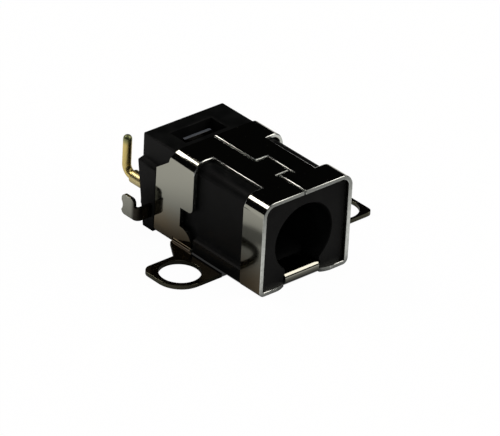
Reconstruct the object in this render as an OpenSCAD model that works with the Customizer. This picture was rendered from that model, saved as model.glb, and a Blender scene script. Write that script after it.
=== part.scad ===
// Shielded dc barrel jack with two screw ears.
// Origin: on the mounting plane, in the plane through the mouth's axis and level with the
// screw holes. Y runs from the mouth to the rear and Z up. Each piece is drawn from the
// middle of the front edge, and placed() then moves it to the origin.

/* [Shell] */
// Width over the folded shell
shell_w = 9.0; // [8.6:0.1:9.6]
// Height over the folded shell
shell_h = 8.0; // [7.7:0.1:8.6]
// Length of the shell along its bottom
shell_len = 12.4; // [12.2:0.1:12.8]
// Thickness of the sheet
sheet = 0.35; // [0.25:0.05:0.4]
// Outer radius of the two upper folds
top_fold_r = 1.1; // [0.7:0.1:1.3]
// Outer radius of the two lower folds
low_fold_r = 0.5; // [0.45:0.05:0.6]
// Length of the front strap
front_strap = 2.3; // [1.8:0.1:2.8]
// Front edge of the rear strap
rear_strap_y = 8.05; // [7.6:0.05:8.4]
// Rear edge of the top plate
top_len = 10.55; // [10.2:0.05:10.8]
// Half width of the top plate between the straps
top_plate_half = 2.65; // [2.2:0.05:3]

/* [Seam] */
// Gap of the butt seam
seam_gap = 0.12; // [0.06:0.02:0.2]
// Distance of the seam from the middle plane
seam_x = -0.38; // [-0.6:0.02:0]
// Reach of the interlocking tongue across the seam
tongue_reach = 1.2; // [0.8:0.1:1.6]
// Front edge of the tongue
tongue_front = 3.15; // [2.6:0.05:3.6]
// Length of the tongue
tongue_len = 2.6; // [2:0.1:3.2]
// Length of the relief slits at the tongue's corners
tongue_slit = 0.45; // [0.2:0.05:0.6]

/* [Ears] */
// Distance of the left screw hole from the middle plane
left_hole_x = 7.12; // [7:0.02:7.5]
// Distance of the right screw hole from the middle plane
right_hole_x = 9.1; // [8.9:0.02:9.4]
// Distance of the screw holes behind the front edge
ear_hole_y = 6.2; // [6:0.05:6.4]
// Diameter of a screw hole
ear_hole_d = 3.3; // [2.8:0.1:3.4]
// Sheet left outside and behind the left screw hole
left_margin = 0.45; // [0.3:0.05:0.8]
// Sheet left outside the right screw hole
right_margin = 0.3; // [0.25:0.05:0.6]
// Length of the left ear along the jack
left_ear_len = 4.2; // [4.1:0.05:4.5]
// Length of the right ear along the jack
right_ear_len = 4.0; // [3.95:0.05:4.3]
// Inner radius of the bend that turns the strap into the ear
ear_bend_r = 0.3; // [0.2:0.05:0.35]
// Front end of the bend
neck_front = 8.0; // [7.9:0.05:8.1]
// Length of the bend
neck_len = 2.1; // [1.8:0.1:2.3]

/* [Lip] */
// Width of the tongue folded over the mouth's lower edge
lip_w = 3.4; // [2.4:0.1:3.6]
// Setback of the lip behind the front edge
lip_setback = 0.2; // [0.15:0.05:0.3]
// Height of the lip over the mounting plane
lip_h = 1.02; // [0.95:0.01:1.05]
// Length of the lip inside the mouth
lip_len = 1.6; // [1:0.1:2]

/* [Housing] */
// Room between the moulded body and the sleeve's sides
side_room = 0.15; // [0.1:0.05:0.3]
// Overall length of the jack without its tails
body_len = 14.65; // [14.2:0.05:15]
// Setback of the moulded face behind the front edge
face_setback = 0.3; // [0.2:0.05:0.5]
// Diameter of the mouth
mouth_d = 5.6; // [5.5:0.05:5.8]
// Height of the mouth's axis
mouth_z = 3.74; // [3.7:0.01:3.85]
// Depth of the mouth behind the face
mouth_depth = 9.3; // [9:0.1:9.5]
// Lead-in chamfer of the mouth
mouth_chamfer = 0.1; // [0.06:0.02:0.2]
// Height of the wide base beside the window
base_h = 1.4; // [1.1:0.05:1.6]
// Height of the wide rear block
block_h = 5.4; // [5:0.1:5.6]
// Lean of the rear face over the height of the block
block_lean = 0.85; // [0.4:0.05:1]
// Width of the open pocket in the rear top
pocket_w = 4.2; // [3.8:0.1:4.4]
// Length of the open pocket
pocket_len = 1.95; // [1.6:0.05:2.1]
// Depth of the open pocket
pocket_depth = 1.2; // [1:0.05:1.3]
// Clearance between moulding and metal
clearance = 0.04; // [0.02:0.01:0.05]

/* [Centre pin] */
// Diameter of the contact length
pin_d = 2.0; // [1.6:0.1:2.1]
// Setback of the tip behind the moulded face
pin_setback = 3.2; // [2.8:0.1:3.6]
// Diameter of the shank
shank_d = 1.1; // [1:0.05:1.15]
// Diameter of the solder tail
tail_d = 0.72; // [0.6:0.02:0.9]
// Offset of the tail from the middle plane
tail_x = -3.6; // [-3.65:0.05:-3.5]
// Height of the shank where it leaves the block
tail_z = 2.98; // [2.95:0.01:3.05]
// Distance of the upright tail behind the block
tail_out = 2.3; // [2:0.1:2.8]
// Height of the tail's tip
tail_top = 6.25; // [5.5:0.05:7]

/* [Sleeve contact] */
// Thickness of the spring strip
strip = 0.3; // [0.2:0.05:0.3]
// Width of the upright plate
plate_w = 2.7; // [2.4:0.1:2.9]
// Front face of the upright plate
plate_y = 12.8; // [12.7:0.02:12.9]
// Height of the plate's top
plate_top = 6.95; // [6.9:0.01:7.05]
// Underside of the side arm
arm_z = 1.15; // [1.1:0.01:1.2]
// Height of the side arm
arm_h = 1.1; // [0.9:0.05:1.15]
// Distance of the solder tab from the shell
tab_out = 1.43; // [1.2:0.01:1.8]
// Height of the solder tab
tab_h = 1.75; // [1.6:0.05:2.2]
// Length of the solder tab
tab_len = 1.9; // [1.6:0.05:2.2]
// Width of the spring tongue bent forward from the plate
spring_w = 1.4; // [1.2:0.1:1.6]
// Dip of the spring tongue towards the plug
spring_dip = 0.25; // [0.1:0.05:0.4]

/* [Hidden] */

nickel = [0.72, 0.71, 0.66];
black_plastic = [0.09, 0.09, 0.09];
brass = [0.79, 0.66, 0.33];

fine = 64;
bend_fn = 48;
rod_fn = 32;
past = 1;                  // overshoot of a cutting shape
inset = 0.3;               // start of a thin rod inside the thick one
half_w = shell_w / 2;
half_in = half_w - sheet;
half_body = half_in - side_room;
body_top = shell_h - sheet;
mouth_r = mouth_d / 2;
mouth_end = face_setback + mouth_depth;

// Straps
step_len = 1.4;            // recess of the lower front edge
step_z = 3.55;             // top of that recess
corner_r = 0.45;
flare_r = 1.35;            // sweep from the recess forward to the foot
flare_z = 0.55;            // height of the sweep's centre
slit = 0.15;               // saw slit beside a bend
shoulder_drop = 0.8;       // upper corner of the shoulder below the top plate
shoulder_in = 0.35;
slope_start = 1.2;         // start of the slope below the top plate
slope_in = 0.45;
slope_end = 2.24;

// Ears
hole_r = ear_hole_d / 2;
ear_rear = ear_hole_y + hole_r + left_margin;
ear_in = half_w + ear_bend_r;
ear_gap = 0.2;             // between an ear's inner edge and the sleeve
left_front_r = hole_r + left_margin;
right_front_r = 0.5;
ear_rear_r = 0.8;
neck_flare = 1.15;         // widening of the neck towards the ear
neck_root = 0.2;           // of the bend's sheet that runs up into the strap

// Lip
lip_bend_r = 0.06;
lip_z = lip_h - sheet;
lip_notch = 0.12;          // slit beside the lip
relief_r = 2.5;            // sweep of the bottom plate's front edge
relief_dip = 0.27;

// Housing
rear_body_y = top_len + clearance;
block_y = shell_len + clearance;
base_front = front_strap + clearance;
base_end = neck_front - clearance - slit;
ledge_rise = 0.25;
corner_room = 0.1;         // left inside the sleeve's upper folds
body_corner_r = top_fold_r - sheet + corner_room;
edge_r = 0.12;
flange_half = half_in - clearance;
mouth_fn = 96;
pocket_x = -0.3;           // middle of the pocket
pocket_ahead = 1.3;        // pocket in front of the contact's plate
pocket_y = plate_y - pocket_ahead;
channel_rise = 0.35;       // room over the spring
channel_side = 0.1;        // room beside the spring

// Centre pin
tip_r = pin_d / 2;
pin_tip_y = face_setback + pin_setback;
pin_seat = 0.1;                     // full diameter held in the wall behind the mouth
shank_y = mouth_end + pin_seat;
shank_run = 0.9;                    // straight shank before the sideways bend
side_y = shank_y + shank_run;
shank_bend_r = 1.35;
tail_bend_r = 0.75;
tail_y = body_len + tail_out;
neck_out = 1.35;
neck_y = body_len + neck_out;       // where the shank narrows to the tail

// Sleeve contact
contact_bend_r = 0.15;
bend_out = contact_bend_r + strip;
root_z = 6.7;                       // top of the slot the spring is bent from
spring_z = root_z - bend_out;
slot_rise = 0.45;
slot_z = arm_z + slot_rise;         // foot of that slot
slot_side = 0.1;
dip_start = 10.4;
touch_y = 8.8;
spring_front = 8.1;
front_dip = spring_dip / 3;         // dip that is left at the spring's front end
tab_x = half_w + tab_out;
tab_r = 0.4;
waist_r = 0.6;
waist = 0.16;
waist_z = 0.75;                     // height of the waist over the tab's foot

// Upright profile drawn in X and Z, extruded from y0 to y1.
module along(y0, y1) {
    translate([0, y1, 0]) rotate([90, 0, 0]) linear_extrude(y1 - y0) children();
}

// Side profile drawn in Y and Z, extruded from x0 to x1.
module across(x0, x1) {
    translate([x0, 0, 0]) rotate([90, 0, 90]) linear_extrude(x1 - x0) children();
}

// Moves a piece from the front edge to the origin between the screw holes.
module placed() {
    translate([0, -ear_hole_y, 0]) children();
}

// Both sides of the jack.
module both_sides() {
    children();
    mirror([1, 0, 0]) children();
}

// Rectangle with its own radius at the upper and at the lower corners.
module folded_outline(half, z0, z1, r_top, r_low) {
    union() {
        translate([-half, z0 + r_low]) square([2 * half, z1 - z0 - r_top - r_low]);
        translate([-half + r_top, z1 - 2 * r_top]) square([2 * (half - r_top), 2 * r_top]);
        translate([-half + r_low, z0]) square([2 * (half - r_low), 2 * r_low]);
        for (s = [-1, 1]) {
            translate([s * (half - r_top), z1 - r_top]) circle(r = r_top, $fn = bend_fn);
            translate([s * (half - r_low), z0 + r_low]) circle(r = r_low, $fn = bend_fn);
        }
    }
}

// ---------------------------------------------------------------- shell

// Closed sleeve as folded from the flat sheet.
module sleeve() {
    along(0, shell_len) difference() {
        folded_outline(half_w, 0, shell_h, top_fold_r, low_fold_r);
        folded_outline(half_w - sheet, sheet, shell_h - sheet, top_fold_r - sheet, low_fold_r - sheet);
    }
}

// Window between the straps on the +X side, over the upper fold and down to the bottom plate.
module side_window() {
    across(top_plate_half, half_w + past)
        translate([front_strap, sheet]) square([rear_strap_y - front_strap, shell_h]);
    across(half_in, half_w + past)
        translate([front_strap, -past]) square([neck_front - slit - front_strap, sheet + 2 * past]);
}

// Recess in the lower front edge of the rear strap, on the +X side.
module strap_step() {
    across(half_in - sheet, half_w + past) difference() {
        translate([rear_strap_y - past, -past]) square([step_len + past, step_z + corner_r + past]);
        translate([rear_strap_y + corner_r, step_z + corner_r]) circle(r = corner_r, $fn = bend_fn);
        translate([rear_strap_y + corner_r, step_z]) square([step_len, 2 * corner_r]);
        translate([neck_front + flare_r, flare_z]) circle(r = flare_r, $fn = fine);
        translate([neck_front + flare_r, -past]) square([step_len, flare_z + flare_r + past]);
        translate([neck_front, -past]) square([step_len, flare_z + past]);
    }
}

// Sloped shoulders that end the rear strap and the top plate.
module shoulder_cut() {
    rear = shell_len - top_len;
    across(-half_w - past, half_w + past)
        translate([top_len, shell_h]) polygon([
            [0, past], [0, 0], [shoulder_in, -shoulder_drop], [slope_in, -slope_start],
            [rear, -slope_end], [rear + past, -slope_end], [rear + past, past]
        ]);
}

// Room for the outward bend, cut from the lower fold on the +X side.
module neck_cut() {
    translate([half_in - sheet, neck_front - slit, -past])
        cube([2 * past, neck_len + 2 * slit, sheet + ear_bend_r + past]);
}

// Butt seam of the top plate, with its interlocking tongue.
module seam_cut() {
    tongue_x = seam_x + tongue_reach;
    tongue_rear = tongue_front + tongue_len;
    g = seam_gap;
    translate([0, 0, shell_h - sheet - past / 2]) linear_extrude(sheet + past) union() {
        translate([seam_x - g / 2, tongue_rear - g / 2]) square([g, shell_len]);
        translate([seam_x - g / 2, tongue_rear - g / 2]) square([tongue_reach + g, g]);
        translate([tongue_x - g / 2, tongue_front - tongue_slit])
            square([g, tongue_len + tongue_slit + g / 2]);
        translate([seam_x - tongue_slit / 2, tongue_front - g / 2])
            square([tongue_reach + tongue_slit / 2 + g / 2, g]);
        translate([seam_x - g / 2, -past]) square([g, tongue_front + past]);
    }
}

// Swept front edge of the bottom plate, and the slits beside the lip.
module lip_relief() {
    notch = lip_w / 2 + lip_notch;
    slit_end = lip_setback + sheet + lip_bend_r;
    corner_x = notch + sqrt(pow(relief_r, 2) - pow(relief_r - relief_dip, 2));
    translate([0, 0, -past]) linear_extrude(past + lip_z) union() {
        difference() {
            translate([-corner_x, -past]) square([2 * corner_x, past + relief_dip]);
            for (s = [-1, 1])
                translate([s * corner_x, relief_r]) circle(r = relief_r, $fn = fine);
        }
        translate([-notch, -past]) square([2 * notch, past + slit_end]);
    }
}

// Tongue folded up from the bottom plate and back into the mouth.
module lip() {
    half = lip_w / 2;
    r_out = lip_bend_r + sheet;
    y_front = lip_setback;
    across(-half, half) difference() {
        union() {
            translate([y_front + r_out, 0]) square([past, sheet]);
            translate([y_front, r_out]) square([sheet, lip_h - 2 * r_out]);
            translate([y_front + r_out, r_out]) circle(r = r_out, $fn = bend_fn);
            translate([y_front + r_out, lip_h - r_out]) circle(r = r_out, $fn = bend_fn);
            translate([y_front + r_out, lip_z]) square([lip_len, sheet]);
        }
        translate([y_front + r_out, r_out]) circle(r = lip_bend_r, $fn = bend_fn);
        translate([y_front + r_out, lip_h - r_out]) circle(r = lip_bend_r, $fn = bend_fn);
        translate([y_front + sheet, r_out]) square([2 * r_out, lip_h - 2 * r_out]);
        translate([y_front + r_out, sheet]) square([2 * r_out, lip_z - sheet]);
    }
}

// Flat outline of one ear with its neck, on the +X side.
module ear_outline(hole_x, margin, len, front_r) {
    inner = half_w + ear_gap;
    out = hole_x + hole_r + margin;
    front = ear_rear - len;
    front_x = out - front_r;
    rear_x = out - ear_rear_r;
    neck_end = neck_front + neck_len;
    difference() {
        union() {
            translate([front_x, front + front_r]) circle(r = front_r, $fn = fine);
            translate([rear_x, ear_rear - ear_rear_r]) circle(r = ear_rear_r, $fn = bend_fn);
            polygon([
                [inner, front], [front_x, front], [front_x, front + front_r],
                [out, front + front_r], [out, ear_rear - ear_rear_r],
                [rear_x, ear_rear - ear_rear_r], [rear_x, ear_rear],
                [ear_in + neck_flare, ear_rear], [ear_in, neck_end], [ear_in, neck_front],
                [inner, neck_front - slit]
            ]);
        }
        translate([hole_x, ear_hole_y]) circle(d = ear_hole_d, $fn = fine);
    }
}

// Ear with the bend that carries it, on the +X side.
module ear(hole_x, margin, len, front_r) {
    r_out = ear_bend_r + sheet;
    linear_extrude(sheet) ear_outline(hole_x, margin, len, front_r);
    translate([ear_in, neck_front + neck_len, r_out]) rotate([90, 0, 0])
        linear_extrude(neck_len) union() {
            intersection() {
                difference() {
                    circle(r = r_out, $fn = bend_fn);
                    circle(r = ear_bend_r, $fn = bend_fn);
                }
                translate([-r_out, -r_out]) square([r_out, r_out]);
            }
            translate([-r_out, 0]) square([sheet, neck_root]);
        }
}

module shell() {
    color(nickel) placed() union() {
        difference() {
            sleeve();
            both_sides() {
                side_window();
                strap_step();
                neck_cut();
            }
            shoulder_cut();
            seam_cut();
            lip_relief();
        }
        lip();
        ear(right_hole_x, right_margin, right_ear_len, right_front_r);
        mirror([1, 0, 0]) ear(left_hole_x, left_margin, left_ear_len, left_front_r);
    }
}

// -------------------------------------------------------------- housing

// Moulded body with its front flange, wide base and rear block, before anything is cut from them.
module body_blank() {
    along(face_setback, rear_body_y)
        folded_outline(half_body, sheet, body_top, body_corner_r, edge_r);
    along(face_setback, front_strap)
        folded_outline(flange_half, sheet + clearance, body_top - clearance,
                       top_fold_r - sheet - clearance, edge_r);
    across(-half_body, half_body)
        polygon([[rear_body_y - past, sheet], [block_y, sheet], [block_y, 0], [body_len - block_lean, 0],
                 [body_len, block_h], [body_len, body_top],
                 [rear_body_y - past, body_top - body_corner_r / 2]]);
    across(-half_body, half_body)
        translate([rear_body_y, sheet + past]) square([body_len - rear_body_y, body_top - sheet - past]);
    along(base_front, base_end)
        polygon([[-half_w, sheet], [half_w, sheet], [half_w, base_h], [half_body, base_h + ledge_rise],
                 [-half_body, base_h + ledge_rise], [-half_w, base_h]]);
    intersection() {
        along(block_y, body_len)
            polygon([[-half_w, 0], [half_w, 0], [half_w, block_h], [half_body, block_h + ledge_rise],
                     [-half_body, block_h + ledge_rise], [-half_w, block_h]]);
        across(-half_w - past, half_w + past)
            polygon([[block_y, 0], [body_len - block_lean, 0], [body_len, block_h],
                     [body_len, body_top], [block_y, body_top]]);
    }
}

// Mouth with its lead-in, ready to be subtracted.
module mouth_cut() {
    translate([0, mouth_end, mouth_z]) rotate([90, 0, 0])
        cylinder(r = mouth_r, h = mouth_depth + past, $fn = mouth_fn);
    translate([0, face_setback + mouth_chamfer, mouth_z]) rotate([90, 0, 0])
        cylinder(r1 = mouth_r, r2 = mouth_r + mouth_chamfer + past, h = mouth_chamfer + past, $fn = mouth_fn);
}

// Room for the lip under the mouth.
module lip_seat() {
    half = lip_w / 2 + clearance;
    y_back = lip_setback + sheet + clearance;
    translate([-half - lip_notch, -past, 0]) cube([2 * (half + lip_notch), y_back + past, lip_h]);
    translate([-half, 0, lip_z - clearance])
        cube([2 * half, y_back + lip_bend_r + lip_len + clearance, mouth_r]);
}

// Channel of the spring, slot of its plate and arm, and the open pocket over the plate.
module contact_seat() {
    half = plate_w / 2 + clearance;
    channel = spring_w / 2 + channel_side;
    translate([-channel, spring_front - clearance, mouth_z])
        cube([2 * channel, plate_y - spring_front, spring_z + strip + channel_rise - mouth_z]);
    translate([-half, plate_y - clearance, arm_z - clearance])
        cube([2 * half, strip + 2 * clearance, shell_h]);
    translate([-half_w - past, plate_y - clearance, arm_z - clearance])
        cube([half_w + past, strip + 2 * clearance, arm_h + 2 * clearance]);
    translate([pocket_x - pocket_w / 2, pocket_y, body_top - pocket_depth])
        cube([pocket_w, pocket_len, pocket_depth + past]);
}

module housing() {
    color(black_plastic) placed() difference() {
        body_blank();
        mouth_cut();
        lip_seat();
        contact_seat();
        pin_shape(clearance);
    }
}

// ----------------------------------------------------------- centre pin

// Quarter bend of a rod. It starts at the origin along +Y and turns towards +X.
module rod_bend(d, r) {
    translate([r, 0, 0]) rotate([0, 0, 90])
        rotate_extrude(angle = 90, $fn = bend_fn) translate([r, 0]) circle(d = d, $fn = rod_fn);
}

// Contact length, sideways shank and upright tail, larger all round by grow.
module pin_shape(grow = 0) {
    side = round(norm([tail_x, tail_z - mouth_z]) * 1000) / 1000;   // whole micrometres
    roll = atan2(tail_z - mouth_z, tail_x);
    d_shank = shank_d + 2 * grow;
    d_tail = tail_d + 2 * grow;
    run = side - 2 * shank_bend_r;
    back_y = side_y + 2 * shank_bend_r;
    up_y = tail_y - tail_bend_r;
    rise = tail_top - tail_z - tail_d / 2;
    translate([0, 0, mouth_z]) {
        translate([0, shank_y, 0]) rotate([90, 0, 0])
            cylinder(d = pin_d + 2 * grow, h = shank_y - pin_tip_y - tip_r, $fn = fine);
        translate([0, pin_tip_y + tip_r, 0]) sphere(d = pin_d + 2 * grow, $fn = fine);
        rotate([0, -roll, 0]) {
            translate([0, side_y, 0]) rotate([90, 0, 0])
                cylinder(d = d_shank, h = side_y - shank_y + inset, $fn = rod_fn);
            translate([0, side_y, 0]) rod_bend(d_shank, shank_bend_r);
            translate([shank_bend_r, side_y + shank_bend_r, 0]) rotate([0, 90, 0])
                cylinder(d = d_shank, h = run, $fn = rod_fn);
            translate([side, back_y, 0]) rotate([0, 0, 180]) rod_bend(d_shank, shank_bend_r);
            translate([side, neck_y, 0]) rotate([90, 0, 0])
                cylinder(d = d_shank, h = neck_y - back_y, $fn = rod_fn);
        }
    }
    translate([tail_x, 0, tail_z]) {
        translate([0, up_y, 0]) rotate([90, 0, 0])
            cylinder(d = d_tail, h = up_y - neck_y + inset, $fn = rod_fn);
        translate([0, up_y, 0]) rotate([0, -90, 0]) rod_bend(d_tail, tail_bend_r);
        translate([0, tail_y, tail_bend_r]) cylinder(d = d_tail, h = rise - tail_bend_r, $fn = rod_fn);
        translate([0, tail_y, rise]) sphere(d = d_tail, $fn = rod_fn);
    }
}

module centre_pin() {
    color(brass) placed() pin_shape();
}

// ------------------------------------------------------- sleeve contact

// Quarter of a bend in the strip, in the +X +Y quarter round its centre.
module strip_bend(len) {
    linear_extrude(len) intersection() {
        difference() {
            circle(r = bend_out, $fn = bend_fn);
            circle(r = contact_bend_r, $fn = bend_fn);
        }
        square([bend_out, bend_out]);
    }
}

// Side profile of the spring, from its root forward: down to the touch point and up again.
module spring_profile() {
    top = spring_z + strip;
    polygon([
        [plate_y - contact_bend_r, spring_z], [plate_y - contact_bend_r, top], [dip_start, top],
        [touch_y, top - spring_dip], [spring_front, top - front_dip],
        [spring_front, spring_z - front_dip], [touch_y, spring_z - spring_dip], [dip_start, spring_z]
    ]);
}

// Solder tab outline in Y and Z, with rounded corners and a waist.
module tab_outline() {
    y0 = plate_y + bend_out;
    y1 = plate_y + tab_len;
    top = arm_z + tab_h;
    difference() {
        union() {
            translate([y0, arm_z]) square([y1 - y0 - tab_r, tab_h - tab_r]);
            translate([y0 + tab_r, arm_z + tab_r]) square([y1 - y0 - 2 * tab_r, tab_h - tab_r]);
            translate([y0 + tab_r, arm_z + tab_r]) square([y1 - y0 - tab_r, tab_h - 2 * tab_r]);
            for (c = [[y1 - tab_r, arm_z + tab_r], [y1 - tab_r, top - tab_r], [y0 + tab_r, top - tab_r]])
                translate(c) circle(r = tab_r, $fn = bend_fn);
        }
        translate([y1 + waist_r - waist, arm_z + waist_z]) circle(r = waist_r, $fn = bend_fn);
    }
}

module sleeve_contact() {
    half = spring_w / 2;
    slot_half = half + slot_side;
    color(nickel) placed() union() {
        across(-half, half) spring_profile();
        translate([-half, plate_y - contact_bend_r, root_z]) rotate([90, 0, 90]) mirror([0, 1, 0])
            strip_bend(spring_w);
        difference() {
            translate([-plate_w / 2, plate_y, arm_z]) cube([plate_w, strip, plate_top - arm_z]);
            translate([-slot_half, plate_y - past, slot_z])
                cube([2 * slot_half, strip + 2 * past, root_z - slot_z]);
        }
        translate([-tab_x + bend_out, plate_y, arm_z]) cube([tab_x - bend_out, strip, arm_h]);
        translate([-tab_x + bend_out, plate_y + bend_out, arm_z]) rotate([0, 0, 180]) strip_bend(arm_h);
        across(-tab_x, -tab_x + strip) tab_outline();
    }
}

housing();
shell();
centre_pin();
sleeve_contact();
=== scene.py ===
"""Looks of a shielded dc barrel jack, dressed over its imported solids.

The jack is a folded nickel sheet sleeve with two screw ears, closed round a black moulded body that
holds a bent brass pin and a strip contact. Each class below dresses one of those pieces.
"""

from __future__ import annotations

import logging
import math
from dataclasses import dataclass, field
from enum import Enum
from typing import Callable, Union

import bmesh
import bpy
from mathutils import Matrix, Vector

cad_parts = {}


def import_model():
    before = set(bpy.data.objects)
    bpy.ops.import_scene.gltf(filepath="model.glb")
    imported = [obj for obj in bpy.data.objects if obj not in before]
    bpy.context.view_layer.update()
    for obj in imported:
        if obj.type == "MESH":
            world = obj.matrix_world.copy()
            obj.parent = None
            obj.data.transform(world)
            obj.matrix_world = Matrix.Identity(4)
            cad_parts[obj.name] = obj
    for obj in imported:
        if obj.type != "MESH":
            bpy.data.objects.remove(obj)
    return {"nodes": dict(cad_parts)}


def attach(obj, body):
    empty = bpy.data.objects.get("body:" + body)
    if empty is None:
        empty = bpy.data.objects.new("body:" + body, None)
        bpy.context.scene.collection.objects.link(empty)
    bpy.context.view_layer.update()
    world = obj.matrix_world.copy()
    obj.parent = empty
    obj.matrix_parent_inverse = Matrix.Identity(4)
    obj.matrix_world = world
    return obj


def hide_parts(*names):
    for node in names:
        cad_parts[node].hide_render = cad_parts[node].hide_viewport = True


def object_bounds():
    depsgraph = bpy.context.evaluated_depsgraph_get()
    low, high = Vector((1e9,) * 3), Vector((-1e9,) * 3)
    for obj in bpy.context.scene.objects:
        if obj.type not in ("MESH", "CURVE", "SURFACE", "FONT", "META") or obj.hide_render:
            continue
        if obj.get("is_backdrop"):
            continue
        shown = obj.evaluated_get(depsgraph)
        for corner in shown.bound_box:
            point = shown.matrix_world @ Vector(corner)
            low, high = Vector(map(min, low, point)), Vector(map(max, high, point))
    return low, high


LOG = logging.getLogger("barrel_jack")
MM = 0.001

Colour = tuple[float, float, float]
Triple = tuple[float, float, float]
Pair = tuple[float, float]
Number = Union[float, int]


class Piece(Enum):
    """The four pieces of the jack, named as their solids are."""

    HOUSING = "housing"
    SHELL = "shell"
    CENTRE_PIN = "centre_pin"
    SLEEVE_CONTACT = "sleeve_contact"


class Axis(Enum):
    """A row axis, by its index in a vector."""

    X = 0
    Y = 1
    Z = 2


@dataclass(frozen=True)
class Pattern:
    """Soft noise on a surface, near 0.5.

    Attributes:
        size_mm: Width of its patches.
        detail: Number of finer layers.
        stretch: Its scale along X, Y and Z.
    """

    size_mm: float
    detail: float = 2.0
    stretch: Triple = (1.0, 1.0, 1.0)


# ----------------------------------------------------------------- shader maths


class Wire:
    """A shader value with arithmetic: each operator adds one Math node."""

    def __init__(self, graph: "Graph", socket: bpy.types.NodeSocket) -> None:
        """Wraps an output socket.

        Args:
            graph: The material's graph.
            socket: The output that holds the value.
        """
        self.graph = graph
        self.socket = socket

    def _math(self, operation: str, *values: Union["Wire", Number]) -> "Wire":
        """Adds one Math node.

        Args:
            operation: The Math node's operation.
            *values: Its inputs, in order.

        Returns:
            The node's result.
        """
        settings = {"operation": operation}
        return self.graph.add("ShaderNodeMath", settings, dict(enumerate(values)))

    def __add__(self, other: Union["Wire", Number]) -> "Wire":
        """Sum of two values."""
        return self._math("ADD", self, other)

    __radd__ = __add__

    def __mul__(self, other: Union["Wire", Number]) -> "Wire":
        """Product of two values."""
        return self._math("MULTIPLY", self, other)

    __rmul__ = __mul__

    def __sub__(self, other: Union["Wire", Number]) -> "Wire":
        """This value less the other."""
        return self._math("SUBTRACT", self, other)

    def size(self) -> "Wire":
        """This value without its sign."""
        return self._math("ABSOLUTE", self)

    def larger(self, other: "Wire") -> "Wire":
        """The larger of two values."""
        return self._math("MAXIMUM", self, other)

    def ramp(self, low: float, high: float) -> "Wire":
        """Rises smoothly from 0 at low to 1 at high.

        Args:
            low: Value where the ramp starts.
            high: Value where the ramp ends. It may be below low, for a falling ramp.

        Returns:
            A value from 0 to 1.
        """
        settings = {"interpolation_type": "SMOOTHSTEP", "clamp": True}
        ends = {1: low, 2: high, 3: 0.0, 4: 1.0}
        if high < low:
            ends = {1: high, 2: low, 3: 1.0, 4: 0.0}
        return self.graph.add("ShaderNodeMapRange", settings, {0: self, **ends})


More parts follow.
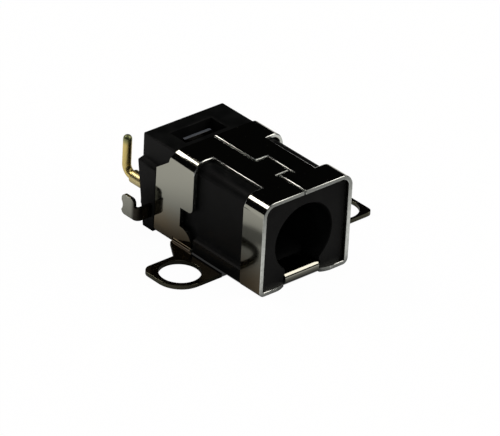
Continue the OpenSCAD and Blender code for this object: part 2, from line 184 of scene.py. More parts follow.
class Graph:
    """Node tree of one material or of the world."""

    def __init__(self, tree: bpy.types.NodeTree) -> None:
        """Empties the tree.

        Args:
            tree: The node tree to fill.
        """
        self.tree = tree
        self.tree.nodes.clear()

    def node(self, kind: str, settings: dict, sockets: dict) -> bpy.types.Node:
        """Adds a node.

        Args:
            kind: The node's type.
            settings: Its properties, set before its sockets.
            sockets: Values, colours or links of its inputs, by name or index.

        Returns:
            The node.
        """
        made = self.tree.nodes.new(kind)
        for name, value in settings.items():
            setattr(made, name, value)
        for key, value in sockets.items():
            if isinstance(value, Wire):
                self.tree.links.new(value.socket, made.inputs[key])
            elif isinstance(value, bpy.types.NodeSocket):
                self.tree.links.new(value, made.inputs[key])
            elif isinstance(value, tuple) and len(made.inputs[key].default_value) == 4:
                made.inputs[key].default_value = (*value, 1.0)
            else:
                made.inputs[key].default_value = value
        return made

    def add(
        self, kind: str, settings: dict, sockets: dict, output: Union[int, str] = 0
    ) -> Wire:
        """Adds a node and wraps one of its outputs.

        Args:
            kind: The node's type.
            settings: Its properties.
            sockets: Its inputs.
            output: The output to wrap.

        Returns:
            The wrapped output.
        """
        return Wire(self, self.node(kind, settings, sockets).outputs[output])

    def position(self) -> Wire:
        """Place on the piece, in metres."""
        return self.add("ShaderNodeTexCoord", {}, {}, "Object")

    def part(self, axis: Axis) -> Wire:
        """One coordinate of the place on the piece.

        Args:
            axis: The coordinate's axis.

        Returns:
            The coordinate, in metres.
        """
        return self.add("ShaderNodeSeparateXYZ", {}, {0: self.position()}, axis.value)

    def fade(self, axis: Axis, span: Pair) -> Wire:
        """Rises smoothly along an axis.

        Args:
            axis: The axis.
            span: Where it is 0 and where it is 1, in millimetres.

        Returns:
            A value from 0 to 1.
        """
        return self.part(axis).ramp(span[0] * MM, span[1] * MM)

    def fade_aside(self, span: Pair) -> Wire:
        """Rises smoothly with the distance from the middle plane.

        Args:
            span: Distances where it is 0 and where it is 1, in millimetres.

        Returns:
            A value from 0 to 1.
        """
        return self.part(Axis.X).size().ramp(span[0] * MM, span[1] * MM)

    def noise(self, pattern: Pattern) -> Wire:
        """Soft noise.

        Args:
            pattern: Its size, detail and stretch.

        Returns:
            A value near 0.5.
        """
        stretched = {"Vector": self.position(), "Scale": Vector(pattern.stretch)}
        sockets = {
            "Vector": self.add("ShaderNodeMapping", {}, stretched),
            "Scale": 1.0 / (pattern.size_mm * MM),
            "Detail": pattern.detail,
        }
        return self.add("ShaderNodeTexNoise", {}, sockets)

    def mix(
        self, factor: Wire, first: Union[Wire, Colour], second: Union[Wire, Colour]
    ) -> Wire:
        """Blends two colours.

        Args:
            factor: 0 for the first, 1 for the second.
            first: Colour at 0.
            second: Colour at 1.

        Returns:
            The blended colour.
        """
        settings = {"data_type": "RGBA"}
        return self.add("ShaderNodeMix", settings, {0: factor, 6: first, 7: second}, 2)

    def bump(self, height: Wire, strength: float, depth_mm: float) -> Wire:
        """Normal of a surface with fine relief.

        Args:
            height: The relief, from 0 to 1.
            strength: How much of the relief shows.
            depth_mm: Depth of the relief.

        Returns:
            The normal.
        """
        sockets = {"Strength": strength, "Distance": depth_mm * MM, "Height": height}
        return self.add("ShaderNodeBump", {}, sockets)

    def ray(self, kind: str) -> Wire:
        """Whether a ray is of one kind. Only the table and the room ask for it.

        Args:
            kind: Name of the light path's output.

        Returns:
            1 or 0.
        """
        return self.add("ShaderNodeLightPath", {}, {}, kind)

    def glow(self, tone: float) -> bpy.types.NodeSocket:
        """Even light of one grey.

        Args:
            tone: The grey.

        Returns:
            The light as a shader.
        """
        sockets = {"Color": (tone,) * 3, "Strength": 1.0}
        return self.node("ShaderNodeEmission", {}, sockets).outputs[0]

    def blend(
        self, factor: Wire, first: bpy.types.NodeSocket, second: bpy.types.NodeSocket
    ) -> bpy.types.NodeSocket:
        """Blends two shaders.

        Args:
            factor: 0 for the first, 1 for the second.
            first: Shader at 0.
            second: Shader at 1.

        Returns:
            The blended shader.
        """
        return self.node("ShaderNodeMixShader", {}, {0: factor, 1: first, 2: second}).outputs[0]

    def end(self, shader: bpy.types.NodeSocket) -> None:
        """Ends a material's tree.

        Args:
            shader: What its surface shows.
        """
        self.node("ShaderNodeOutputMaterial", {}, {"Surface": shader})

    def surface(self, **sockets: Union[Wire, Colour, float]) -> None:
        """Ends the tree in a principled shader.

        Args:
            **sockets: Its inputs, with underscores for the spaces in their names.
        """
        named = {key.replace("_", " "): value for key, value in sockets.items()}
        self.end(self.node("ShaderNodeBsdfPrincipled", {}, named).outputs[0])


def new_material(name: str, build: Callable[[Graph], None]) -> bpy.types.Material:
    """Makes a material.

    Args:
        name: Its name.
        build: Function that fills its graph.

    Returns:
        The material.
    """
    material = bpy.data.materials.new(name)
    material.use_nodes = True
    build(Graph(material.node_tree))
    return material


# --------------------------------------------------------------------- finishes


@dataclass(frozen=True)
class Finish:
    """A surface finish. Its spans are places in millimetres where a share is 0 and where it is 1.

    Attributes:
        name: Name of its material.
        roughness: Its mean roughness.
        uneven: How far the roughness follows one of its patterns.
        relief: How much of its relief shows.
        relief_mm: Depth of that relief.
    """

    name: str
    roughness: float
    uneven: float
    relief: float = 0.0
    relief_mm: float = 0.0

    def material(self) -> bpy.types.Material:
        """The finish as a material."""
        return new_material(self.name, self.paint)

    def paint(self, graph: Graph) -> None:
        """Fills the material's graph.

        Args:
            graph: The graph.
        """
        raise NotImplementedError

    def rough(self, grain: Wire) -> Wire:
        """Roughness that follows a pattern.

        Args:
            grain: The pattern, near 0.5.

        Returns:
            The roughness.
        """
        return self.roughness + self.uneven * (grain - 0.5)

    def raised(self, height: Wire) -> Wire:
        """Normal of the surface with its relief.

        Args:
            height: The relief, from 0 to 1.

        Returns:
            The normal.
        """
        return height.graph.bump(height, self.relief, self.relief_mm)


@dataclass(frozen=True)
class NickelSheet(Finish):
    """Bright nickel plate on rolled sheet, with a painted brownish reflection low on its sides and
    painted shade in the ears' bends.

    Attributes:
        bright: Colour of clean plate.
        painted_reflection_colour: Colour of the painted reflection low on the sides, browner than
            the plate.
        painted_reflection_least: Share of the painted reflection between its clouds.
        painted_reflection_cloud: Share that its clouds add.
        painted_reflection_height: Span of the painted reflection along Z.
        painted_reflection_side: Its span away from the middle plane.
        painted_shade_colour: Colour of the painted shade in the ears' bends.
        painted_shade_height: Span of the painted shade along Z.
        painted_shade_in: Span of its inner end, away from the middle plane.
        painted_shade_out: Span of its outer end.
        cloud: Pattern of the painted reflection.
        rolled: Fine lines along the sheet.
        wave: Slight unevenness of the sheet.
        wave_share: Share of the unevenness in the relief. The lines have the rest.
    """

    name: str = "nickel_sheet"
    roughness: float = 0.09
    uneven: float = 0.06
    relief: float = 0.3
    relief_mm: float = 0.02
    bright: Colour = (0.3, 0.305, 0.26)
    # Painted reflection: a browner colour low on the outer sides, in clouds.
    painted_reflection_colour: Colour = (0.33, 0.26, 0.165)
    painted_reflection_least: float = 0.45
    painted_reflection_cloud: float = 0.9
    painted_reflection_height: Pair = (3.6, 0.6)
    painted_reflection_side: Pair = (2.5, 3.5)
    # Painted shade: the ears' bends are painted near black.
    painted_shade_colour: Colour = (0.006, 0.005, 0.004)
    painted_shade_height: Pair = (0.75, 0.45)
    painted_shade_in: Pair = (4.52, 4.62)
    painted_shade_out: Pair = (4.95, 4.85)
    cloud: Pattern = Pattern(1.8)
    rolled: Pattern = Pattern(0.5, 3.0, (1.0, 0.12, 1.0))
    wave: Pattern = Pattern(2.6, 1.0)
    wave_share: float = 0.85

    def paint(self, graph: Graph) -> None:
        """Fills the graph with plate, its painted brownish reflection and its painted shade."""
        # Painted reflection: browner low on the outer sides, in clouds.
        tint = graph.fade(Axis.Z, self.painted_reflection_height) * graph.fade_aside(self.painted_reflection_side)
        tint = tint * (self.painted_reflection_least + self.painted_reflection_cloud * graph.noise(self.cloud))
        plate = graph.mix(tint, self.bright, self.painted_reflection_colour)
        # Painted shade: near black in the ears' bends, low between the side and the ear.
        painted_shade_mask = graph.fade(Axis.Z, self.painted_shade_height)
        painted_shade_mask = painted_shade_mask * graph.fade_aside(self.painted_shade_in) * graph.fade_aside(self.painted_shade_out)
        rolled = graph.noise(self.rolled)
        wave = self.wave_share * graph.noise(self.wave)
        graph.surface(
            Base_Color=graph.mix(painted_shade_mask, plate, self.painted_shade_colour),
            Metallic=1.0,
            Roughness=self.rough(rolled),
            Normal=self.raised(wave + (1.0 - self.wave_share) * rolled),
        )


@dataclass(frozen=True)
class CutEdge(Finish):
    """Sheared edge of the sheet: bare and pale, with fine shear lines, and painted shade round the
    foot.

    Attributes:
        pale: Its colour between the lines.
        line_tone: Brightness of a line, as a share of the pale colour.
        line_span: Values of the lines' pattern where a line starts and where it is full.
        painted_foot_shade: Colour of the painted shade round the foot.
        painted_foot_shade_height: Span of the painted shade along Z.
        painted_foot_shade_side: Its span away from the middle plane.
        painted_foot_shade_behind: Its span along Y. The mouth's edge stays pale.
        lines: Pattern of the lines.
    """

    name: str = "cut_edge"
    roughness: float = 0.23
    uneven: float = 0.1
    pale: Colour = (0.55, 0.58, 0.55)
    line_tone: float = 0.85
    line_span: Pair = (0.35, 0.7)
    # Painted shade: low cut edges round the foot, such as the ears' rims, are painted dark.
    painted_foot_shade: Colour = (0.08, 0.08, 0.055)
    painted_foot_shade_height: Pair = (0.5, 0.4)
    painted_foot_shade_side: Pair = (3.8, 3.9)
    painted_foot_shade_behind: Pair = (-6.1, -6.0)
    lines: Pattern = Pattern(0.3, 2.0, (1.0, 0.3, 1.0))

    def paint(self, graph: Graph) -> None:
        """Fills the graph with the lined edge and its painted shade round the foot."""
        lines = graph.noise(self.lines)
        lined = tuple(self.line_tone * value for value in self.pale)
        edge = graph.mix(lines.ramp(*self.line_span), self.pale, lined)
        # Painted shade on the low cut edges round the foot, behind the mouth.
        painted_foot_shade = graph.fade(Axis.Z, self.painted_foot_shade_height) * graph.fade_aside(self.painted_foot_shade_side)
        painted_foot_shade = painted_foot_shade * graph.fade(Axis.Y, self.painted_foot_shade_behind)
        graph.surface(
            Base_Color=graph.mix(painted_foot_shade, edge, self.painted_foot_shade),
            Metallic=1.0,
            Roughness=self.rough(lines),
        )


@dataclass(frozen=True)
class MouldedBlack(Finish):
    """Black glass-filled plastic with a fine eroded skin.

    Attributes:
        dark: Its colour.
        worn: Its colour in its paler clouds.
        worn_span: Values of the clouds' pattern where they start and where they are full.
        gleam: Specular level.
        cloud: Pattern of the clouds.
        grain: Pattern of the skin.
    """

    name: str = "moulded_black"
    roughness: float = 0.5
    uneven: float = 0.18
    relief: float = 0.25
    relief_mm: float = 0.012
    dark: Colour = (0.0021, 0.0024, 0.0024)
    worn: Colour = (0.0044, 0.0048, 0.0047)
    worn_span: Pair = (0.35, 0.75)
    gleam: float = 0.07
    cloud: Pattern = Pattern(1.5, 3.0)
    grain: Pattern = Pattern(0.09)

    def paint(self, graph: Graph) -> None:
        """Fills the graph with clouded plastic."""
        cloud = graph.noise(self.cloud)
        graph.surface(
            Base_Color=graph.mix(cloud.ramp(*self.worn_span), self.dark, self.worn),
            Roughness=self.rough(cloud),
            Specular_IOR_Level=self.gleam,
            Normal=self.raised(graph.noise(self.grain)),
        )


@dataclass(frozen=True)
class BrightBrass(Finish):
    """Turned brass rod, paler on the thick length and tinned at its tip.

    Attributes:
        yellow: Colour of the thin tail.
        pale: Colour of the thick length.
        pale_share: How far the thick length takes that colour.
        thick: Span of the thick length along Y.
        tinned: Colour of the tinned tip.
        tin_least: Share of tin between its clouds.
        tin_cloud: Share that its clouds add.
        tin_rough: Roughness that tin adds.
        tip: Span of the tip along Z.
        cloud: Pattern of the tin.
        turned: Fine lines round the rod.
    """

    name: str = "bright_brass"
    roughness: float = 0.36
    uneven: float = 0.12
    relief: float = 0.2
    relief_mm: float = 0.008
    yellow: Colour = (0.62, 0.5, 0.18)
    pale: Colour = (0.54, 0.47, 0.25)
    pale_share: float = 0.8
    thick: Pair = (9.9, 9.5)
    tinned: Colour = (0.22, 0.25, 0.12)
    tin_least: float = 0.6
    tin_cloud: float = 0.7
    tin_rough: float = 0.1
    tip: Pair = (5.35, 5.98)
    cloud: Pattern = Pattern(0.7)
    turned: Pattern = Pattern(0.1, 2.0, (0.3, 1.0, 1.0))

    def paint(self, graph: Graph) -> None:
        """Fills the graph with turned brass and its tin."""
        tip = graph.fade(Axis.Z, self.tip)
        tin = tip * (self.tin_least + self.tin_cloud * graph.noise(self.cloud))
        thick = graph.fade(Axis.Y, self.thick) * self.pale_share
        turned = graph.noise(self.turned)
        graph.surface(
            Base_Color=graph.mix(tin, graph.mix(thick, self.yellow, self.pale), self.tinned),
            Metallic=1.0,
            Roughness=self.rough(turned) + self.tin_rough * tip,
            Normal=self.raised(turned),
        )


@dataclass(frozen=True)
class ContactStrip(Finish):
    """Satin nickel plate on the spring strip, with painted shade on its arm where it runs close to
    the body.

    Attributes:
        satin: Colour of clean plate.
        painted_shade_colour: Colour of the painted shade on the arm.
        painted_shade_least: Share of the painted shade between its clouds.
        painted_shade_cloud: Share that its clouds add.
        arm: Span of the arm along Y.
        cloud: Pattern of the painted shade.
        grain: Fine lines along the strip.
    """

    name: str = "contact_strip"
    roughness: float = 0.24
    uneven: float = 0.15
    relief: float = 0.3
    relief_mm: float = 0.01
    satin: Colour = (0.28, 0.285, 0.245)
    # Painted shade: the arm, close to the body, is painted near black.
    painted_shade_colour: Colour = (0.035, 0.032, 0.025)
    painted_shade_least: float = 0.7
    painted_shade_cloud: float = 0.5
    arm: Pair = (7.4, 7.0)
    cloud: Pattern = Pattern(0.9)
    grain: Pattern = Pattern(0.15, 3.0, (1.0, 1.0, 0.25))

    def paint(self, graph: Graph) -> None:
        """Fills the graph with plate and its painted shade."""
        clouds = self.painted_shade_least + self.painted_shade_cloud * graph.noise(self.cloud)
        # Painted shade on the arm, in clouds, in front of the given place along Y.
        painted_shade_mask = graph.fade(Axis.Y, self.arm) * clouds
        grain = graph.noise(self.grain)
        graph.surface(
            Base_Color=graph.mix(painted_shade_mask, self.satin, self.painted_shade_colour),
            Metallic=1.0,
            Roughness=self.rough(grain),
            Normal=self.raised(grain),
        )


@dataclass(frozen=True)
class StripEdge(Finish):
    """Sheared edge of the spring strip: grey, matt and bare.

    Attributes:
        grey: Its colour.
        lines: Pattern of its shear lines.
    """

    name: str = "strip_edge"
    roughness: float = 0.45
    uneven: float = 0.2
    grey: Colour = (0.06, 0.068, 0.08)
    lines: Pattern = Pattern(0.1, 2.0, (1.0, 1.0, 0.3))

    def paint(self, graph: Graph) -> None:
        """Fills the graph with one grey."""
        rough = self.rough(graph.noise(self.lines))
        graph.surface(Base_Color=self.grey, Metallic=0.0, Roughness=rough)


# ----------------------------------------------------------------------- pieces


@dataclass
class DressedPiece:
    """A solid of the frame, copied, welded and given soft edges and its finishes.

    Attributes:
        piece: The solid that it stands for.
        node: That solid's object.
        name: Name of the dressed copy.
        edge_mm: Width of the soft edge.
        edge_from: Angle between two faces, in degrees, from which their edge is softened.
        smooth_to: Angle up to which two faces are shaded as one.
        edge_held: Whether a soft edge narrows where it would meet another one.
        edge_finish: Index of the soft edge's finish. -1 takes it from the faces beside it.
        edge_steps: Facets across a soft edge.
        weld_mm: Distance within which two corners are one.
        flat_to: Angle up to which two faces are joined, in degrees.
        obj: The dressed copy.
    """

    piece: Piece
    node: bpy.types.Object
    name: str
    edge_mm: float = 0.03
    edge_from: float = 28.0
    smooth_to: float = 28.0
    edge_held: bool = True
    edge_finish: int = -1
    edge_steps: int = 2
    weld_mm: float = 0.0005
    flat_to: float = 0.6
    obj: bpy.types.Object = field(init=False)

    def build(self) -> bpy.types.Object:
        """Makes the dressed copy and puts it in the solid's place.

        Returns:
            The dressed object.
        """
        mesh = self.welded_mesh()
        self.obj = bpy.data.objects.new(self.name, mesh)
        bpy.context.scene.collection.objects.link(self.obj)
        for finish in self.finishes():
            mesh.materials.append(finish)
        self.soften()
        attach(self.obj, "root")
        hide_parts(self.piece.value)
        LOG.info("%s: %d faces before its soft edges", self.name, len(mesh.polygons))
        return self.obj

    def welded_mesh(self) -> bpy.types.Mesh:
        """Copies the solid's triangles, welds them and joins the flat ones into whole faces.

        Returns:
            The mesh.
        """
        form = bmesh.new()
        form.from_mesh(self.node.data)
        bmesh.ops.remove_doubles(form, verts=form.verts, dist=self.weld_mm * MM)
        bmesh.ops.dissolve_limit(
            form,
            angle_limit=math.radians(self.flat_to),
            verts=form.verts,
            edges=form.edges,
            delimit=set(),
        )
        self.sort_faces(form)
        self.weigh_edges(form)
        mesh = bpy.data.meshes.new(self.name)
        form.to_mesh(mesh)
        form.free()
        mesh.shade_smooth()
        mesh.set_sharp_from_angle(angle=math.radians(self.smooth_to))
        return mesh

    def sort_faces(self, form: bmesh.types.BMesh) -> None:
        """Gives each face the index of its finish. A plain piece has one finish.

        Args:
            form: The welded form.
        """

    def weigh_edges(self, form: bmesh.types.BMesh) -> None:
        """Gives each sharp edge its share of the soft edge's width.

        Args:
            form: The welded form.
        """
        form.normal_update()
        share = form.edges.layers.float.new("bevel_weight_edge")
        for edge in form.edges:
            if edge.calc_face_angle(0.0) > math.radians(self.edge_from):
                edge[share] = self.edge_share(edge)

    def edge_share(self, edge: bmesh.types.BMEdge) -> float:
        """Share of the soft edge's width that an edge gets: all of it on a plain piece.

        Args:
            edge: The edge.

        Returns:
            A share from 0 to 1.
        """
        return 1.0

    def soften(self) -> None:
        """Adds the soft edges and keeps the flat faces flat beside them."""
        bevel = self.obj.modifiers.new("soft_edges", "BEVEL")
        bevel.width = self.edge_mm * MM
        bevel.segments = self.edge_steps
        bevel.limit_method = "WEIGHT"
        bevel.use_clamp_overlap = self.edge_held
        bevel.harden_normals = False
        bevel.material = self.edge_finish
        weights = self.obj.modifiers.new("flat_faces", "WEIGHTED_NORMAL")
        weights.keep_sharp = True

    def finishes(self) -> list[bpy.types.Material]:
        """The piece's materials, by face index."""
        raise NotImplementedError


@dataclass
class SheetSleeve(DressedPiece):
    """The folded sleeve with its ears: plated sheet faces and bare cut edges.

    Attributes:
        sheet_mm: Thickness of the sheet.
        top_mm: Height over the sleeve.
        half_mm: Half of its width.
        upper_fold_mm: Outer radius of the upper folds.
        lower_fold_mm: Outer radius of the lower folds.
        ear_bend_mm: Distance of the ear bend's axis from the sleeve's side.
        lip_half_mm: Half of the width of the lip that is folded into the mouth.
        lip_top_mm: Height of that lip.
        front_mm: Place along Y up to which an edge lies on the mouth's edge.
        rear_mm: Place along Y up to which an edge of the top plate starts.
        front_share: Share of the soft edge's width on the mouth's edge.
        ear_share: The same on the ears.
        even_mm: Difference in depth that a plated face may have.
        level: Least upright part of a level face's normal.
        cut: Sideways or lengthways part of the normal from which a face is a cut edge.
    """

    edge_mm: float = 0.08
    edge_held: bool = False
    edge_finish: int = 1
    sheet_mm: float = 0.35
    top_mm: float = 8.0
    half_mm: float = 4.5
    upper_fold_mm: float = 1.1
    lower_fold_mm: float = 0.5
    ear_bend_mm: float = 0.3
    lip_half_mm: float = 1.7
    lip_top_mm: float = 1.02
    front_mm: float = -6.19
    rear_mm: float = 3.9
    front_share: float = 0.55
    ear_share: float = 0.3
    even_mm: float = 0.035
    level: float = 0.8
    cut: float = 0.5

    def depth(self, point: Vector) -> float:
        """Depth of a point under the sleeve's outer surface, in millimetres.

        Args:
            point: The point, in metres.

        Returns:
            0 on the outer surface and the sheet's thickness on the inner one.
        """
        side = self.half_mm - abs(point.x) / MM
        over = self.top_mm - point.z / MM
        under = point.z / MM
        for height, fold in ((over, self.upper_fold_mm), (under, self.lower_fold_mm)):
            if side < fold and height < fold:
                return fold - math.hypot(fold - side, fold - height)
        return min(side, over, under)

    def bend_radius(self, point: Vector) -> float:
        """Distance of a point from the axis of the ear's bend, in millimetres.

        Args:
            point: The point, in metres.

        Returns:
            The bend's inner or outer radius on the bend's two faces.
        """
        across = abs(point.x) / MM - self.half_mm - self.ear_bend_mm
        return math.hypot(across, point.z / MM - self.sheet_mm - self.ear_bend_mm)

    def on_sheet(self, face: bmesh.types.BMFace) -> bool:
        """Whether a face is a plated face of the sheet and not one of its cut edges.

        Args:
            face: The face.

        Returns:
            True on the sheet's two sides.
        """
        normal = face.normal
        points = [vertex.co for vertex in face.verts]
        reach = max(abs(point.x) for point in points) / MM
        height = max(point.z for point in points) / MM
        if reach < self.lip_half_mm + self.even_mm and height < self.lip_top_mm + self.even_mm:
            return abs(normal.x) < self.cut
        if reach > self.half_mm + self.even_mm:
            radii = [self.bend_radius(point) for point in points]
            return abs(normal.z) > self.level or max(radii) - min(radii) < self.even_mm
        depths = [self.depth(point) for point in points]
        return abs(normal.y) < self.cut and max(depths) - min(depths) < self.even_mm

    def edge_share(self, edge: bmesh.types.BMEdge) -> float:
        """All of it on the top plate up to its rear end, a part on the mouth's edge and ears."""
        low = min(vertex.co.z for vertex in edge.verts) / MM
        near = min(abs(vertex.co.x) for vertex in edge.verts) / MM
        ends = [vertex.co.y / MM for vertex in edge.verts]
        if max(ends) < self.front_mm:
            return self.front_share
        if low > self.top_mm - self.upper_fold_mm and min(ends) < self.rear_mm:
            return 1.0
        return self.ear_share if near > self.half_mm + self.ear_bend_mm else 0.0

    def sort_faces(self, form: bmesh.types.BMesh) -> None:
        """Sets the cut edges apart from the sheet's faces."""
        form.normal_update()
        for face in form.faces:
            face.material_index = 0 if self.on_sheet(face) else 1

    def finishes(self) -> list[bpy.types.Material]:
        """Plated sheet, then cut edge."""
        return [NickelSheet().material(), CutEdge().material()]


@dataclass
class MouldedBody(DressedPiece):
    """The black moulding, rounded along the long edges of its rear block.

    Attributes:
        long_mm: Length from which an edge is rounded.
        block_mm: Place along Y from which an edge belongs to the rear block.
    """

    edge_mm: float = 0.1
    edge_held: bool = False
    long_mm: float = 1.5
    block_mm: float = 4.3

    def edge_share(self, edge: bmesh.types.BMEdge) -> float:
        """All of it on the rear block's long edges, none elsewhere."""
        rear = min(vertex.co.y for vertex in edge.verts) > self.block_mm * MM
        return 1.0 if rear and edge.calc_length() > self.long_mm * MM else 0.0

    def finishes(self) -> list[bpy.types.Material]:
        """Black plastic."""
        return [MouldedBlack().material()]


@dataclass
class PinRod(DressedPiece):
    """The bent centre pin."""

    def finishes(self) -> list[bpy.types.Material]:
        """Brass."""
        return [BrightBrass().material()]


@dataclass
class SpringStrip(DressedPiece):
    """The strip contact with its solder tab: plated faces, and the cut top in the pocket.

    Attributes:
        top_from_mm: Height from which faces that look up belong to the cut top.
        level: Least upright part of the normal of a face that looks up.
    """

    top_from_mm: float = 6.0
    level: float = 0.8

    def sort_faces(self, form: bmesh.types.BMesh) -> None:
        """Sets the cut top apart from the plated faces."""
        form.normal_update()
        for face in form.faces:
            high = face.calc_center_median().z > self.top_from_mm * MM
            face.material_index = 1 if high and face.normal.z > self.level else 0

    def finishes(self) -> list[bpy.types.Material]:
        """Satin strip, then its cut top."""
        return [ContactStrip().material(), StripEdge().material()]


# ------------------------------------------------------------------------ stage


@dataclass(frozen=True)
class Viewpoint:
    """The camera, by the direction in which it stands from the jack.

    Attributes:
        azimuth: Degrees round the jack. 0 looks along +Y.
        elevation: Degrees over the floor.
        roll: Degrees by which the camera leans.
        target: Point that it looks at, in millimetres.
        distance: Distance from that point, in millimetres.
        lens: Focal length, in millimetres.
        sensor: The sensor's width, in millimetres.
        shift: Shift of the view, in parts of its width.
        clip: Nearest and farthest distance that it sees, in millimetres.
    """

    azimuth: float = -42.504
    elevation: float = 29.947
    roll: float = 3.145
    target: Triple = (0.0, 1.3, 3.8)
    distance: float = 375.5
    lens: float = 352.5
    sensor: float = 36.0
    shift: Pair = (0.0169, -0.0407)
    clip: Pair = (10.0, 3000.0)

    def back(self) -> Vector:
        """Direction from the jack to the camera."""
        azimuth, elevation = math.radians(self.azimuth), math.radians(self.elevation)
        level = math.cos(elevation)
        return Vector((math.sin(azimuth) * level, -math.cos(azimuth) * level, math.sin(elevation)))

    def place(self) -> bpy.types.Object:
        """Makes the camera.

        Returns:
            The camera's object.
        """
        data = bpy.data.cameras.new("camera")
        data.sensor_width = self.sensor
        data.lens = self.lens
        data.shift_x, data.shift_y = self.shift
        data.clip_start, data.clip_end = self.clip[0] * MM, self.clip[1] * MM
        camera = bpy.data.objects.new("camera", data)
        camera.location = Vector(self.target) * MM + self.back() * self.distance * MM
        turn = (-self.back()).to_track_quat("-Z", "Y").to_matrix()
        lean = turn @ Vector((0, 0, 1))
        roll = Matrix.Rotation(math.radians(self.roll), 3, lean)
        camera.rotation_euler = (roll @ turn).to_euler()
        bpy.context.scene.collection.objects.link(camera)
        bpy.context.scene.camera = camera
        return camera


@dataclass(frozen=True)
class Softbox:
    """An area lamp that faces the jack.

    Attributes:
        name: Its name.
        towards: Direction from the jack to the lamp.
        distance: Distance in millimetres.
        width: Width of its round face in millimetres.
        radiance: Brightness of its face, where 1 is white.
        seen: Whether glossy surfaces mirror it.
        tint: Its colour.
    """

    name: str
    towards: Triple
    distance: float
    width: float
    radiance: float
    seen: bool = True
    tint: Colour = (1.0, 0.93, 0.88)

    def place(self, target: Vector) -> bpy.types.Object:
        """Makes the lamp.

        Args:
            target: Point that it faces, in metres.

        Returns:
            The lamp's object.
        """
        data = bpy.data.lights.new(self.name, "AREA")
        data.shape = "DISK"
        data.size = self.width * MM
        data.color = self.tint
        data.energy = self.radiance * math.pi * math.pi * (data.size / 2) ** 2
        lamp = bpy.data.objects.new(self.name, data)
        way = Vector(self.towards).normalized()
        lamp.location = target + way * self.distance * MM
        lamp.rotation_euler = way.to_track_quat("Z", "Y").to_euler()
        lamp.visible_camera = False
        lamp.visible_glossy = self.seen
        bpy.context.scene.collection.objects.link(lamp)
        return lamp


@dataclass(frozen=True)
class DarkTent:
    """A dark tent with an open top, which only mirrors see: it keeps bright plate dark.

    Attributes:
        name: Its name.
        low_mm: Radius at the table.
        high_mm: Radius at its open top.
        rise_mm: Height.
        tone: Its grey.
        facets: Number of its sides.
    """

    name: str = "dark_tent"
    low_mm: float = 1300.0
    high_mm: float = 520.0
    rise_mm: float = 1900.0
    tone: float = 0.004
    facets: int = 64

    def place(self, foot: float) -> bpy.types.Object:
        """Makes the tent.

        Args:
            foot: Height of the table, in metres.

        Returns:
            The tent's object.
        """
        form = bmesh.new()
        bmesh.ops.create_cone(
            form,
            cap_ends=False,
            segments=self.facets,
            radius1=self.low_mm * MM,
            radius2=self.high_mm * MM,
            depth=self.rise_mm * MM,
        )
        middle = foot + self.rise_mm * MM / 2
        bmesh.ops.translate(form, vec=Vector((0, 0, middle)), verts=form.verts)
        mesh = bpy.data.meshes.new(self.name)
        form.to_mesh(mesh)
        form.free()
        mesh.materials.append(new_material(self.name, self.paint))
        tent = bpy.data.objects.new(self.name, mesh)
        bpy.context.scene.collection.objects.link(tent)
        tent.visible_camera = False
        tent.visible_diffuse = False
        tent.visible_transmission = False
        tent.visible_shadow = False
        tent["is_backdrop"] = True
        return tent

    def paint(self, graph: Graph) -> None:
        """Fills the graph with an even dark grey."""
        graph.end(graph.glow(self.tone))


@dataclass(frozen=True)
class DarkStrip:
    """A rectangle on the table, with the jack's middle plane along its middle.

    Attributes:
        half: Half of its width along X, in millimetres.
        ends: Where it starts and ends along Y, in millimetres.
        edge: Width of its soft edge, in millimetres.
    """

    half: float
    ends: Pair
    edge: float = 0.1

    def share(self, graph: Graph) -> Wire:
        """1 inside the rectangle and 0 outside it.

        Args:
            graph: The table's graph.

        Returns:
            A value from 0 to 1.
        """
        front, rear = self.ends
        across = graph.fade_aside((self.half, self.half - self.edge))
        along = graph.fade(Axis.Y, (front, front + self.edge))
        return across * along * graph.fade(Axis.Y, (rear, rear - self.edge))


@dataclass(frozen=True)
class DarkOval:
    """An oval on the table with a soft rim.

    Attributes:
        centre: Its middle along X and Y, in millimetres.
        half: Half of its widths along X and Y, in millimetres.
        span: Distances from its middle, in half widths, where it is nothing and where it is full.
    """

    centre: Pair
    half: Pair
    span: Pair

    def share(self, graph: Graph) -> Wire:
        """1 in the middle of the oval and 0 outside it.

        Args:
            graph: The table's graph.

        Returns:
            A value from 0 to 1.
        """
        moved = (-self.centre[0] / self.half[0], -self.centre[1] / self.half[1], 0.0)
        scale = (1.0 / (self.half[0] * MM), 1.0 / (self.half[1] * MM), 0.0)
        place = {
            "Vector": graph.position(),
            "Location": Vector(moved),
            "Scale": Vector(scale),
        }
        sockets = {0: graph.add("ShaderNodeMapping", {}, place)}
        length = graph.add("ShaderNodeVectorMath", {"operation": "LENGTH"}, sockets, "Value")
        return length.ramp(*self.span)


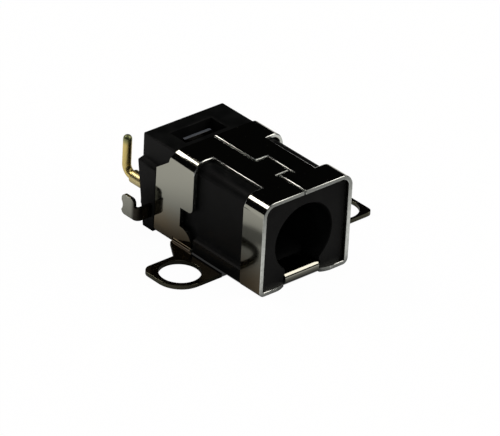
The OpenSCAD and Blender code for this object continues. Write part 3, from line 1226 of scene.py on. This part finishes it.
@dataclass(frozen=True)
class TableShade:
    """Painted shade on the table: where the jack stands, and round it for mirrors only.

    Attributes:
        tone: Their grey.
        plate: Painted shadow in the slots under the jack's sides.
        ears: Painted shadow in the gaps between the jack and its ears.
        beside: What the lower parts of the straps mirror.
        beside_front: Where that starts along Y, as a span in millimetres.
        band: What the front strap mirrors halfway up.
        band_share: How dark that is.
        ahead: What the upper part of the mouth's edge mirrors, as a span along Y.
        ahead_share: How dark that is.
    """

    tone: float = 0.03
    plate: DarkStrip = DarkStrip(4.2, (-5.8, 5.8))
    ears: DarkStrip = DarkStrip(4.72, (-2.1, 4.0))
    beside: DarkOval = DarkOval((0.0, 0.6), (6.0, 6.5), (2.6, 0.7))
    beside_front: Pair = (-8.0, -6.0)
    band: DarkOval = DarkOval((-10.4, 1.3), (1.0, 2.6), (1.4, 0.6))
    band_share: float = 0.85
    ahead: Pair = (-10.5, -17.5)
    ahead_share: float = 0.85

    def share(self, graph: Graph) -> Wire:
        """How far the table is dark, for each ray.

        Args:
            graph: The table's graph.

        Returns:
            A value from 0 to 1.
        """
        beside = self.beside.share(graph) * graph.fade(Axis.Y, self.beside_front)
        ahead = self.ahead_share * graph.fade(Axis.Y, self.ahead)
        band = self.band_share * self.band.share(graph)
        mirrored = graph.ray("Is Glossy Ray") * beside.larger(ahead).larger(band)
        return mirrored.larger(self.plate.share(graph).larger(self.ears.share(graph)))


@dataclass(frozen=True)
class Studio:
    """White table, plain room and lamps.

    Attributes:
        table_mm: Width of the table.
        table_tone: Its paint.
        table_drop: How far it lies under the jack's foot, in millimetres.
        fill: Level of the room's light.
        white_seen: Share of plain white that the camera sees in the table.
        white_mirrored: The same share in mirrors.
        shade: The table's painted shade.
        lamps: The lamps.
    """

    table_mm: float = 3000.0
    table_tone: float = 0.86
    table_drop: float = 0.01
    fill: float = 0.5
    white_seen: float = 0.97
    white_mirrored: float = 0.12
    shade: TableShade = TableShade()
    lamps: tuple[Softbox, ...] = (
        Softbox("fold_light", (-0.305, 0.639, 0.706), 420.0, 150.0, 8.0),
        Softbox("lip_light", (0.585, -0.499, 0.639), 420.0, 350.0, 3.4),
        Softbox("top_light", (-0.1, -0.05, 1.0), 520.0, 300.0, 1.5, False),
    )

    def white_share(self, graph: Graph) -> Wire:
        """How much of plain white a ray meets in the table.

        Args:
            graph: The table's graph.

        Returns:
            A value from 0 to 1.
        """
        straight = graph.ray("Is Camera Ray") + graph.ray("Is Transmission Ray")
        return straight * self.white_seen + graph.ray("Is Glossy Ray") * self.white_mirrored

    def paint_table(self, graph: Graph) -> None:
        """Fills the table's graph: paint that keeps shadows, plain white over it, dark parts."""
        paint = graph.node("ShaderNodeBsdfDiffuse", {}, {"Color": (self.table_tone,) * 3})
        table = graph.blend(self.white_share(graph), paint.outputs[0], graph.glow(1.0))
        graph.end(graph.blend(self.shade.share(graph), table, graph.glow(self.shade.tone)))

    def paint_room(self) -> None:
        """Makes the world: an even light, and white behind the table."""
        world = bpy.data.worlds.new("room")
        world.use_nodes = True
        bpy.context.scene.world = world
        graph = Graph(world.node_tree)
        seen = graph.ray("Is Camera Ray") + graph.ray("Is Glossy Ray")
        seen = seen + graph.ray("Is Transmission Ray")
        level = seen * (1.0 - self.fill) + self.fill
        sockets = {"Color": (1.0, 1.0, 1.0), "Strength": level}
        shade = graph.node("ShaderNodeBackground", {}, sockets)
        graph.node("ShaderNodeOutputWorld", {}, {"Surface": shade.outputs[0]})

    def build(self, foot: float, target: Vector) -> None:
        """Makes the table, the room, the lamps and the tent.

        Args:
            foot: Height of the jack's foot, in metres.
            target: Point that the lamps face, in metres.
        """
        form = bmesh.new()
        bmesh.ops.create_grid(form, x_segments=1, y_segments=1, size=self.table_mm * MM / 2)
        height = foot - self.table_drop * MM
        bmesh.ops.translate(form, vec=Vector((0, 0, height)), verts=form.verts)
        mesh = bpy.data.meshes.new("table")
        form.to_mesh(mesh)
        form.free()
        mesh.materials.append(new_material("table_white", self.paint_table))
        table = bpy.data.objects.new("table", mesh)
        bpy.context.scene.collection.objects.link(table)
        table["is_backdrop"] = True
        self.paint_room()
        for lamp in self.lamps:
            lamp.place(target)
        DarkTent().place(foot)


def main() -> None:
    """Builds the jack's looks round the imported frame."""
    logging.basicConfig(level=logging.INFO)
    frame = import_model()
    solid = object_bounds()
    nodes = frame["nodes"]
    pieces: list[DressedPiece] = [
        SheetSleeve(Piece.SHELL, nodes["shell"], "sheet_sleeve"),
        MouldedBody(Piece.HOUSING, nodes["housing"], "moulded_body"),
        PinRod(Piece.CENTRE_PIN, nodes["centre_pin"], "pin_rod"),
        SpringStrip(Piece.SLEEVE_CONTACT, nodes["sleeve_contact"], "spring_strip"),
    ]
    for piece in pieces:
        piece.build()
    view = Viewpoint()
    view.place()
    Studio().build(solid[0].z, Vector(view.target) * MM)
    bpy.context.scene.view_settings.view_transform = "Standard"


if __name__ == "__main__":
    main()
